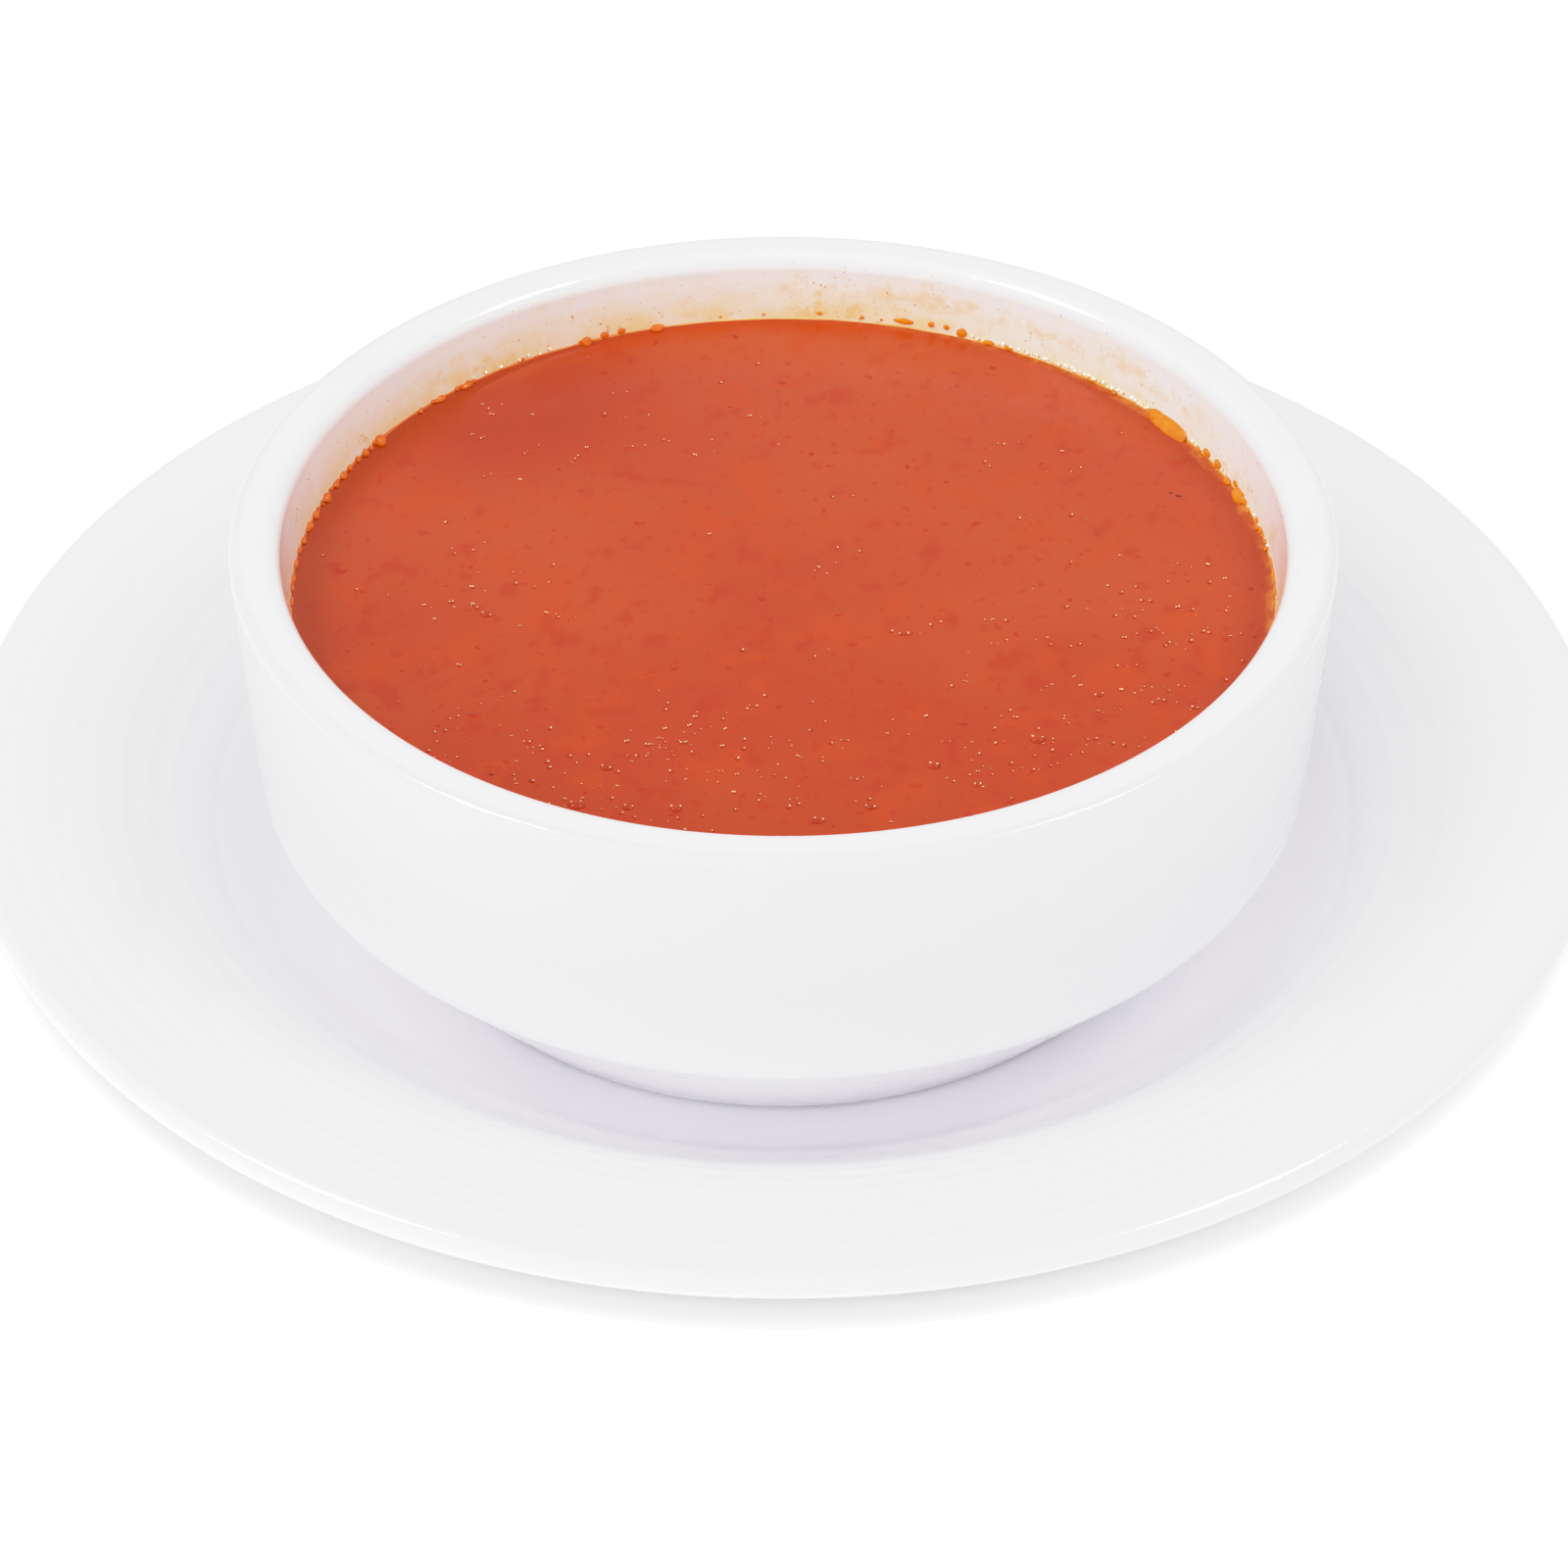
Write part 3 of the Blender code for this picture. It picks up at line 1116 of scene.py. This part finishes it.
@dataclass
class Pulp:
    """Flecks of tomato pulp and a few dark specks of seasoning, level with the surface."""

    soup: Soup
    seed: int = 77
    count: int = 90
    edge: float = 51.0 * MM
    thickness: float = 0.035 * MM
    speck_thickness: float = 0.06 * MM
    sink: float = 0.01 * MM
    placed_size: Point = (0.62, 0.8)
    # Least size of a strewn fleck and how much larger it may be, in millimetres.
    strewn_size: Point = (0.16, 0.34)
    strewn_long: Point = (0.7, 1.2)
    strewn_wide: Point = (0.8, 1.2)
    fleck_spin: float = 0.35
    fleck_unevenness: float = 0.45
    speck_size: Point = (1.5, 0.8)
    speck_spin: Point = (-0.9, 0.0)
    speck_unevenness: float = 0.5
    outlines: float = 50.0
    # Place across and back, length and width of the flecks that stand out, in millimetres.
    placed: tuple[Bead, ...] = (
        (-32.6, -24.7, 1.5, 0.55), (-18.6, -33.6, 0.8, 0.5), (21.5, 11.1, 0.9, 0.55),
        (51.2, -1.6, 0.7, 0.6), (-5.7, 50.2, 0.7, 0.8), (-18.1, 44.7, 0.5, 0.8),
        (47.6, -11.0, 0.6, 0.6), (15.8, 9.8, 0.7, 0.4), (3.2, 25.1, 0.5, 0.6), (-19.2, -26.7, 0.8, 0.4),
        (-0.1, 40.1, 0.8, 0.5), (13.2, -10.1, 0.6, 0.4), (-11.6, -16.4, 0.9, 0.4),
        (-15.1, 49.0, 0.6, 0.8), (18.9, -26.2, 0.9, 0.4), (44.3, -17.1, 0.8, 0.4),
        (6.0, -6.5, 0.8, 0.4), (24.6, 43.4, 0.7, 0.6), (-42.1, 22.8, 0.5, 0.5),
        (-28.8, -32.7, 0.8, 0.4), (-18.0, 26.3, 0.5, 0.5), (26.2, -31.8, 0.7, 0.4),
        (-48.6, 1.8, 1.0, 0.8), (3.0, -42.9, 1.0, 0.4), (-11.4, -41.5, 1.1, 0.4),
    )
    # Place across and back and size of the specks, in millimetres.
    specks: tuple[Triple, ...] = (
        (50.8, -10.6, 0.20), (44.5, 16.6, 0.26), (-30.2, -34.9, 0.16), (43.7, 17.2, 0.15)
    )

    def build(self, pulp: DropFinish, seasoning: DropFinish) -> list[bpy.types.Object]:
        """Model the flecks and the specks.

        Args:
            pulp: look of the pulp.
            seasoning: look of the dark specks.

        Returns:
            The two finished pieces.
        """
        dice = random.Random(self.seed)
        flecks, specks = bmesh.new(), bmesh.new()
        part_long, part_wide = self.placed_size
        marks = [
            (x * MM, y * MM, part_long * a * MM, part_wide * b * MM) for x, y, a, b in self.placed
        ]
        least, more = self.strewn_size
        for _ in range(self.count):
            radius, azimuth = self.edge * math.sqrt(dice.random()), dice.uniform(0, 360)
            place = on_ring(radius, azimuth, 0.0)
            size = (least + more * dice.random() ** 2) * MM
            long, wide = dice.uniform(*self.strewn_long), dice.uniform(*self.strewn_wide)
            marks.append((place.x, place.y, size * long, size * wide))
        for x, y, long, wide in marks:
            place = Matrix.Translation((x, y, self.soup.surface_z + self.soup.ripple(x, y) - self.sink))
            spin = Matrix.Rotation(dice.gauss(0, self.fleck_spin), 4, "Z")
            shape = place @ spin @ Matrix.Diagonal((long, wide, self.thickness, 1.0))
            outline = dice.uniform(0, self.outlines)
            add_blob(flecks, shape.__matmul__, (12, 6), self.fleck_unevenness, outline)
        for x, y, size in self.specks:
            place = Matrix.Translation(
                (x * MM, y * MM, self.soup.surface_z + self.soup.ripple(x * MM, y * MM))
            )
            spin = Matrix.Rotation(dice.uniform(*self.speck_spin), 4, "Z")
            long, wide = (part * size * MM for part in self.speck_size)
            shape = place @ spin @ Matrix.Diagonal((long, wide, self.speck_thickness, 1.0))
            outline = dice.uniform(0, self.outlines)
            add_blob(specks, shape.__matmul__, (10, 6), self.speck_unevenness, outline)
        return [
            piece_from(flecks, "pulp_flecks", pulp.build(), Slot.SOUP),
            piece_from(specks, "seasoning_specks", seasoning.build(), Slot.SOUP),
        ]


@dataclass
class Oil:
    """Orange oil that has gathered where the soup meets the wall, in a thin line and beads."""

    soup: Soup
    seed: int = 19
    line_width: float = 0.34 * MM
    line_rise: float = 0.40 * MM
    line_flatness: float = 0.55
    # Thickness of the line at the left and elsewhere, and how far left the first one reaches.
    line_parts: Point = (0.66, 0.5)
    line_left: float = -0.35
    line_least: float = 0.45
    # How strongly and how closely round the bowl the line swells, and how it rises and falls.
    line_swells: tuple[Point, ...] = ((0.55, 21.0), (0.35, 62.0))
    line_wander: Point = (0.10 * MM, 14.0)
    # Parts of a bead's length and width that make its half sizes, and its greatest thickness.
    bead_parts: Triple = (0.58, 0.62, 0.34)
    bead_thickest: float = 0.42
    bead_unevenness: float = 0.16
    # Half length, width and thickness of a froth bubble and of its glint.
    froth_parts: Triple = (1.5, 1.2, 0.8)
    froth_rise: Point = (0.70, 1.00)
    glint_parts: Triple = (1.2, 0.8, 1.1)
    glint_scatter: Point = (0.80, 1.30)
    glint_lift: float = 0.2
    small_unevenness: float = 0.2
    tiny_unevenness: float = 0.3
    splash_count: int = 46
    splash_size: Point = (0.07, 0.17)
    splash_thickness: float = 0.05 * MM
    # Least height of the splashes, how much higher they reach, and how they thin out.
    splash_rise: Triple = (0.9, 4.6, 1.4)
    splash_group: tuple[int, ...] = (1, 1, 2, 3, 5)
    outlines: float = 40.0
    # Low bodies lie on the curl of the soup: they tilt, move in from the wall and rise less.
    lean_from: float = 0.2 * MM
    lean_run: float = 0.7 * MM
    lean_tilt: float = math.radians(62)
    lean_inset: float = 0.32 * MM
    lean_lift: float = 0.2
    wall_inset: float = 0.02 * MM
    least_rise: float = 0.28 * MM
    least_slope: float = 0.45
    # Azimuth in degrees, height above the surface, length along the wall and width, in millimetres.
    red_beads: tuple[Bead, ...] = (
        (149.5, 0.32, 1.45, 1.30), (152.7, 0.45, 0.95, 0.85), (154.4, 0.55, 0.70, 0.60),
        (156.5, 0.55, 0.65, 0.60), (158.2, 0.50, 1.10, 0.75), (160.3, 0.50, 0.85, 0.65),
        (163.2, 0.40, 1.25, 0.95), (167.1, 0.45, 1.00, 0.75), (169.5, 0.50, 1.15, 0.80),
        (172.5, 0.50, 1.10, 0.60), (174.7, 0.60, 1.20, 0.50), (177.5, 0.55, 1.30, 0.50),
        (180.4, 0.55, 1.40, 0.45), (182.4, 0.55, 1.20, 0.45), (185.0, 0.55, 1.30, 0.45),
        (115.7, 0.55, 1.10, 0.95), (113.2, 0.80, 0.90, 0.70), (110.9, 0.85, 0.90, 0.70),
        (106.2, 0.45, 1.50, 0.80), (141.5, 0.45, 0.60, 0.45), (137.8, 0.45, 1.30, 0.60),
        (133.5, 0.40, 1.60, 0.55),
    )
    gold_beads: tuple[Bead, ...] = (
        (34.0, 0.42, 5.40, 1.90), (36.4, 0.55, 2.80, 1.40), (26.4, 0.95, 1.25, 0.85),
        (23.7, 0.95, 1.25, 0.85), (18.9, 1.10, 1.00, 0.60), (17.2, 0.40, 2.40, 1.30),
        (20.6, 0.42, 1.20, 0.70), (15.4, 0.80, 0.60, 0.40), (16.4, 1.00, 0.50, 0.40),
        (11.2, 0.90, 0.75, 0.60), (9.4, 0.85, 0.45, 0.40), (8.6, 0.90, 0.45, 0.35),
        (2.8, 0.70, 1.60, 0.35), (0.0, 0.65, 2.80, 0.40), (-3.0, 0.60, 1.40, 0.35),
        (74.6, 1.20, 2.20, 0.65), (71.0, 1.35, 0.70, 0.65), (69.0, 1.35, 0.65, 0.60),
        (66.9, 1.05, 1.15, 1.05), (85.4, 1.20, 0.60, 0.40), (80.0, 1.05, 0.50, 0.40),
        (77.5, 1.00, 0.35, 0.30), (92.5, 1.00, 0.40, 0.25), (98.0, 0.95, 0.35, 0.25),
        (63.2, 0.70, 1.30, 0.50), (60.4, 0.70, 1.00, 0.45), (48.0, 0.60, 1.10, 0.40),
    )
    # Azimuth in degrees and radius in millimetres.
    froth: tuple[Point, ...] = (
        (42.9, 0.21), (41.5, 0.20), (40.5, 0.24), (40.0, 0.20), (39.4, 0.26), (38.8, 0.24),
        (38.3, 0.19), (44.6, 0.17), (46.0, 0.20), (61.8, 0.15), (61.0, 0.16), (60.2, 0.15),
        (59.0, 0.17), (58.3, 0.15), (56.8, 0.16), (55.4, 0.18), (54.8, 0.15), (53.6, 0.17),
        (52.3, 0.18), (51.7, 0.15), (50.7, 0.16), (49.3, 0.17), (48.6, 0.15), (47.9, 0.16),
        (46.7, 0.16), (45.3, 0.20), (43.8, 0.17), (47.3, 0.15), (50.0, 0.17), (51.2, 0.15),
        (53.0, 0.18), (54.1, 0.15), (56.2, 0.16), (57.6, 0.15), (63.9, 0.16), (64.6, 0.15),
        (65.4, 0.17), (29.4, 0.15), (28.6, 0.19), (27.6, 0.16), (22.3, 0.17), (21.6, 0.15),
        (14.2, 0.14), (12.6, 0.15), (10.2, 0.14), (7.4, 0.13), (5.9, 0.14), (120.9, 0.17),
        (122.2, 0.15), (123.9, 0.18), (125.3, 0.16), (127.9, 0.15), (130.4, 0.16), (132.2, 0.13),
    )

    def on_wall(
        self, bm: bmesh.types.BMesh, azimuth_deg: float, rise: float, half: Triple,
        rings: tuple[int, int], unevenness: float, seed: float,
    ) -> None:
        """Add a body that hugs the wall and the foot of the soup.

        Args:
            bm: mesh that takes the body.
            azimuth_deg: where along the wall.
            rise: height of its centre above the surface.
            half: half its length along the wall, its width and its thickness.
            rings: segments around and from pole to pole.
            unevenness: how far its outline wanders.
            seed: picks the outline.
        """
        lean = unit(1.0 - (rise - self.lean_from) / self.lean_run)
        tilt = self.lean_tilt * lean
        lifted = max(rise, self.least_rise + self.least_slope * rise)
        height = self.soup.surface_z + lifted + self.lean_lift * lean * half[1]
        centre_r = self.soup.wall_r(height) - self.wall_inset - self.lean_inset * lean

        def place(unit: Vector) -> Vector:
            """Point of the body from a point of a unit ball."""
            along, slope, out = unit.x * half[0], unit.y * half[1], unit.z * half[2]
            radius = centre_r + slope * math.sin(tilt) - out * math.cos(tilt)
            level = height + slope * math.cos(tilt) + out * math.sin(tilt)
            return on_ring(radius, azimuth_deg - math.degrees(along / centre_r), level)

        add_blob(bm, place, rings, unevenness, seed)

    def beads(
        self, name: str, run: tuple[Bead, ...], finish: DropFinish, strays: int, middle: float,
        spread: float,
    ) -> bpy.types.Object:
        """Model one run of beads.

        Args:
            name: piece name.
            run: azimuth, rise, length and width of each bead.
            finish: look of the oil.
            strays: how many small beads lie between them.
            middle: azimuth about which the small beads gather.
            spread: how far they scatter, in degrees.

        Returns:
            The finished piece.
        """
        dice = random.Random(self.seed + len(run))
        bm = bmesh.new()
        for azimuth, rise, long, wide in run:
            part_long, part_wide, part_thick = self.bead_parts
            thick = min(self.bead_thickest, part_thick * wide)
            half = (part_long * long * MM, part_wide * wide * MM, thick * MM)
            rings, outline = (18, 10) if long > 2 else (14, 8), dice.uniform(0, self.outlines)
            self.on_wall(bm, azimuth, rise * MM, half, rings, self.bead_unevenness, outline)
        for _ in range(strays):
            azimuth, size = dice.gauss(middle, spread), dice.uniform(0.16, 0.30) * MM
            half = (size * dice.uniform(1.0, 1.5), size, 0.6 * size)
            rise, outline = dice.uniform(0.42, 0.78) * MM, dice.uniform(0, self.outlines)
            self.on_wall(bm, azimuth, rise, half, (10, 6), self.small_unevenness, outline)
        bmesh.ops.recalc_face_normals(bm, faces=bm.faces)
        return piece_from(bm, name, finish.build(), Slot.SOUP)

    def line(self, finish: OilFinish) -> bpy.types.Object:
        """Model the thin line of oil that rings the soup.

        Args:
            finish: look of the oil.

        Returns:
            The finished piece.
        """
        bm, far = bmesh.new(), 10.0
        section = [(math.cos(math.radians(a)), math.sin(math.radians(a))) for a in range(0, 360, 45)]
        verts = [bm.verts.new((x, 0.0, z)) for x, z in section]
        loop = [bm.edges.new((verts[i], verts[(i + 1) % len(verts)])) for i in range(len(verts))]
        bmesh.ops.transform(bm, matrix=Matrix.Translation((far, 0.0, 0.0)), verts=verts)
        whole = {"cent": (0, 0, 0), "axis": (0, 0, 1), "angle": 2 * math.pi, "steps": 360}
        bmesh.ops.spin(bm, geom=verts + loop, use_merge=True, **whole)
        bmesh.ops.remove_doubles(bm, verts=bm.verts, dist=1e-4)
        height = self.soup.surface_z + self.line_rise
        centre_r = self.soup.wall_r(height)
        for vert in bm.verts:
            azimuth = math.atan2(vert.co.y, vert.co.x)
            across, up = math.hypot(vert.co.x, vert.co.y) - far, vert.co.z
            around = Vector((math.cos(azimuth), math.sin(azimuth), 0.0))
            fat = 1.0 + sum(part * noise.noise(around * waves) for part, waves in self.line_swells)
            part = self.line_parts[0 if around.x < self.line_left else 1]
            half = part * self.line_width * max(self.line_least, fat)
            lift = self.line_wander[0] * noise.noise(around * self.line_wander[1])
            radius = centre_r + self.line_flatness * half * across
            vert.co = on_ring(radius, math.degrees(azimuth), height + lift + half * up)
        bmesh.ops.recalc_face_normals(bm, faces=bm.faces)
        return piece_from(bm, "oil_line", finish.build(), Slot.SOUP)

    def foam(self, finish: DropFinish, glint: DropFinish) -> list[bpy.types.Object]:
        """Model the strings of wet bubbles that cling to the wall, with a painted highlight, a glowing
        pale glint, on each.

        Args:
            finish: look of the bubbles.
            glint: look of the glints.

        Returns:
            The two finished pieces.
        """
        dice = random.Random(self.seed + 5)
        bubbles, glints = bmesh.new(), bmesh.new()
        for azimuth, size in self.froth:
            rise = dice.uniform(*self.froth_rise) * MM
            size *= MM
            half = scaled(self.froth_parts, size)
            outline = dice.uniform(0, self.outlines)
            self.on_wall(bubbles, azimuth, rise, half, (10, 6), self.small_unevenness, outline)
            dot = dice.uniform(*self.glint_scatter) * size
            long, wide, thick = self.glint_parts
            half = (long * dot, wide * dot, thick * size)
            beside, outline = azimuth + dice.uniform(-0.1, 0.1), dice.uniform(0, self.outlines)
            rise += self.glint_lift * size
            self.on_wall(glints, beside, rise, half, (8, 6), self.tiny_unevenness, outline)
        for bm in (bubbles, glints):
            bmesh.ops.recalc_face_normals(bm, faces=bm.faces)
        return [
            piece_from(bubbles, "wall_froth", finish.build(), Slot.SOUP),
            piece_from(glints, "froth_glints", glint.build(), Slot.SOUP),
        ]

    def splashes(self, finish: DropFinish) -> bpy.types.Object:
        """Model the tiny splashes on the wall above the soup.

        Args:
            finish: look of the splashes.

        Returns:
            The finished piece.
        """
        dice = random.Random(self.seed + 9)
        bm = bmesh.new()
        least, more, thinning = self.splash_rise
        for _ in range(self.splash_count):
            azimuth, rise = dice.uniform(0, 360), least + more * dice.random() ** thinning
            for _ in range(dice.choice(self.splash_group)):
                size = dice.uniform(*self.splash_size)
                half = (size * MM, size * dice.uniform(0.7, 1.2) * MM, self.splash_thickness)
                beside = azimuth + dice.gauss(0, 0.9)
                level = max(0.7, rise + dice.gauss(0, 0.45)) * MM
                outline = dice.uniform(0, self.outlines)
                self.on_wall(bm, beside, level, half, (8, 5), self.tiny_unevenness, outline)
        bmesh.ops.recalc_face_normals(bm, faces=bm.faces)
        return piece_from(bm, "wall_splashes", finish.build(), Slot.SOUP)

    def build(
        self, line: OilFinish, red: DropFinish, gold: DropFinish, clear: DropFinish, glint: DropFinish,
        thin: DropFinish,
    ) -> list[bpy.types.Object]:
        """Model the line, the beads, the froth and the splashes.

        Args:
            line: oil of the thin line.
            red: orange-red oil.
            gold: golden oil.
            clear: wet bubbles of the froth.
            glint: bright tops of the froth.
            thin: thin splashed oil.

        Returns:
            The finished pieces.
        """
        return [
            self.line(line),
            self.beads("red_oil_beads", self.red_beads, red, 44, 158.0, 16.0),
            self.beads("gold_oil_beads", self.gold_beads, gold, 26, 18.0, 16.0),
            *self.foam(clear, glint),
            self.splashes(thin),
        ]


# ---------------------------------------------------------------------------
# Light, table and camera
# ---------------------------------------------------------------------------


@dataclass(frozen=True)
class Lamp:
    """Rectangular soft light: its place, size and watts, and whether it shows in gloss."""

    name: str
    place: Triple
    size: Point
    power: float
    in_gloss: bool = True

    def build(self, aim: Vector) -> None:
        """Hang the light, turned towards a place."""
        data = bpy.data.lights.new(self.name, "AREA")
        data.shape = "RECTANGLE"
        data.size, data.size_y = self.size
        data.energy = self.power
        lamp = bpy.data.objects.new(self.name, data)
        lamp.location = self.place
        lamp.rotation_euler = (aim - Vector(self.place)).to_track_quat("-Z", "Y").to_euler()
        lamp.visible_glossy = self.in_gloss
        bpy.context.scene.collection.objects.link(lamp)


@dataclass
class Studio:
    """White table, soft lights and the camera."""

    rim_z: float
    table_size: float = 3.0
    lamps: tuple[Lamp, ...] = (
        Lamp("left_box", (-0.62, -0.06, 0.98), (0.30, 0.40), 2.2),
        Lamp("right_box", (0.62, -0.06, 0.98), (0.30, 0.40), 2.2),
        Lamp("front_box", (-0.72, -0.98, 0.62), (1.2, 0.7), 4.1, in_gloss=False),
    )
    room_white: Colour = (0.985, 0.985, 1.0)
    room_strength: float = 0.54
    bounces: int = 20
    diffuse_bounces: int = 16
    lens: float = 101.25
    sensor: float = 36.0
    nearest: float = 0.01
    pitch_deg: float = 37.678
    distance: float = 478.34 * MM
    lift: float = 29.03 * MM
    aside: float = -0.07 * MM
    # Shown level for each level of light, between black and white.
    response: Stops = (
        (0.25, 0.34), (0.48, 0.66), (0.57, 0.765), (0.67, 0.835), (0.80, 0.880), (0.90, 0.925)
    )

    def build_floor(self) -> bpy.types.Object:
        """Lay a wide table top just under the saucer."""
        bm = bmesh.new()
        bmesh.ops.create_grid(bm, x_segments=2, y_segments=2, size=self.table_size)
        mesh = bpy.data.meshes.new("table_top")
        bm.to_mesh(mesh)
        bm.free()
        mesh.materials.append(FloorFinish("table_white").build())
        obj = bpy.data.objects.new("table_top", mesh)
        bpy.context.scene.collection.objects.link(obj)
        return obj

    def build_world(self) -> None:
        """Surround everything with even white light."""
        world = bpy.data.worlds.new("white_room")
        world.use_nodes = True
        back = world.node_tree.nodes["Background"]
        back.inputs["Color"].default_value = (*self.room_white, 1.0)
        back.inputs["Strength"].default_value = self.room_strength
        bpy.context.scene.world = world

    def build_camera(self) -> None:
        """Stand the camera in front, looking down on the soup."""
        pitch = math.radians(self.pitch_deg)
        ahead = Vector((0.0, math.cos(pitch), -math.sin(pitch)))
        upward = Vector((0.0, math.sin(pitch), math.cos(pitch)))
        data = bpy.data.cameras.new("camera")
        data.lens = self.lens
        data.sensor_width = self.sensor
        data.clip_start = self.nearest
        camera = bpy.data.objects.new("camera", data)
        camera.location = Vector(
            (-self.aside, 0.0, self.rim_z)
        ) - ahead * self.distance - upward * self.lift
        camera.rotation_euler = (math.pi / 2 - pitch, 0.0, 0.0)
        bpy.context.scene.collection.objects.link(camera)
        bpy.context.scene.camera = camera

    def set_view(self) -> None:
        """Set the bounces of light and the response of the camera."""
        bpy.context.scene.cycles.max_bounces = self.bounces
        bpy.context.scene.cycles.diffuse_bounces = self.diffuse_bounces
        view = bpy.context.scene.view_settings
        view.view_transform = "Standard"
        view.look = "None"
        view.exposure = 0.0
        view.gamma = 1.0
        view.use_curve_mapping = True
        curve = view.curve_mapping.curves[3]
        for level, shown in self.response:
            curve.points.new(level, shown)
        view.curve_mapping.update()

    def build(self) -> None:
        """Set up the table, the lights, the room and the camera."""
        self.build_floor()
        for lamp in self.lamps:
            lamp.build(Vector((0.0, 0.0, self.rim_z)))
        self.build_world()
        self.build_camera()
        self.set_view()


def main() -> None:
    """Build every piece in order, then the studio."""
    logging.basicConfig(level=logging.INFO, format="%(message)s")
    bowl_low, bowl_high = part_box("bowl")
    soup_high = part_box("soup")[1]
    bowl = Bowl(foot_z=bowl_low[2], rim_z=bowl_high[2], radius=bowl_high[0])
    soup = Soup(bowl, surface_z=soup_high[2])
    # The outer tones are painted shade that dims the saucer's wing and the bowl's outer wall.
    saucer_white = Glaze("saucer_white", (0.982, 0.977, 0.988), outer_from=63.7 * MM, painted_outer_shade=0.93)
    bowl_white = StainedGlaze(
        "bowl_white",
        (0.965, 0.953, 0.978),
        outer_from=58.5 * MM,
        painted_outer_shade=0.87,
        inner_radius=55.6 * MM,
        low=soup_high[2],
        high=soup_high[2] + 7.4 * MM,
    )
    tomato = SoupFinish("wet_tomato", edge_r=bowl.level[0])
    film = DropFinish("bubble_film", (0.54, 0.050, 0.008), 0.12, index=1.36)
    # Painted highlight: the pale glints on the bubbles.
    glint = DropFinish("pale_glint", (1.0, 0.70, 0.42), 0.2, index=1.36)
    pulp = DropFinish("tomato_pulp", (0.53, 0.036, 0.004), 0.25, index=1.34)
    seasoning = DropFinish("dark_seasoning", (0.24, 0.025, 0.012), 0.35, index=1.36)
    red = DropFinish("orange_oil", (0.95, 0.19, 0.003), 0.08)
    gold = DropFinish("golden_oil", (1.0, 0.30, 0.001), 0.08)
    froth = DropFinish("clear_froth", (0.96, 0.72, 0.30), 0.05)
    # Painted highlight: pale glints on the froth that glow a little.
    wet = DropFinish("wet_glint", (1.0, 0.98, 0.92), 0.05, glow=0.35)
    thin = DropFinish("thin_oil", (0.93, 0.60, 0.22), 0.10)
    pieces = [Saucer().build(saucer_white), bowl.build(bowl_white), soup.build(tomato)]
    pieces += Bubbles(soup).build(film, glint)
    pieces += Pulp(soup).build(pulp, seasoning)
    pieces += Oil(soup).build(OilFinish("oil_edge"), red, gold, froth, wet, thin)
    for piece in pieces:
        report(piece)
    Studio(rim_z=bowl_high[2]).build()


if __name__ == "__main__":
    main()
